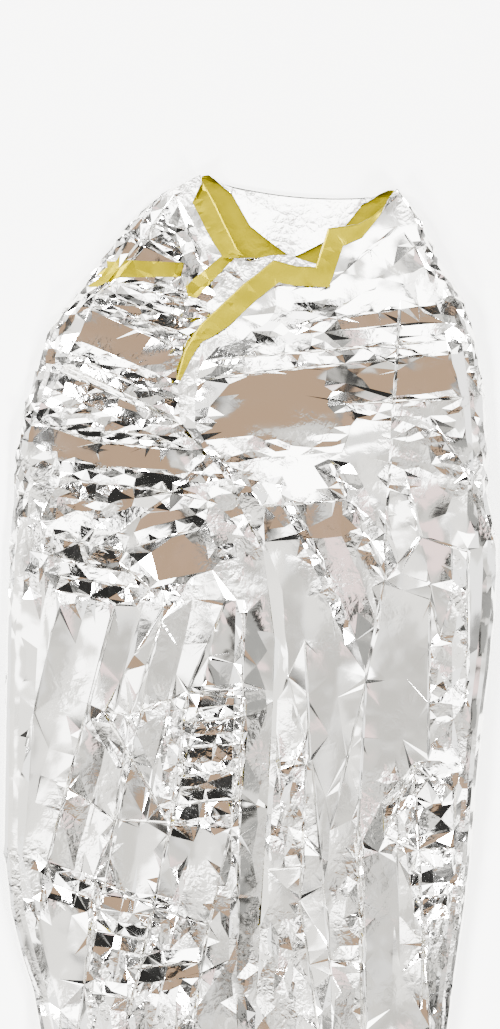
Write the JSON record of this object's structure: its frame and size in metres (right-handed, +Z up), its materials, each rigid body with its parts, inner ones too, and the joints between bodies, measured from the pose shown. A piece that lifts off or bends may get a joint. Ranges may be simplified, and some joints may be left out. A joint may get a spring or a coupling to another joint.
{
  "type": "emergency foil blanket",
  "caption": "Emergency foil blanket, wrapped shut and lying on its back, with crumpled silver film and turned gold edges at the collar.",
  "frame": {"origin": "middle of the blanket's outline, on the ground under it", "axes": "+Z up from the ground, +Y towards the collar, +X to the right of someone who looks down at it with the collar at the top"},
  "size_m": [0.4954, 1.2788, 0.0344],
  "materials": {
    "foil": "vacuum-metallised polyester film, silver outside and gold inside, crumpled"
  },
  "bodies": {
    "root": {"foil_blanket": "foil"}
  },
  "joints": []
}
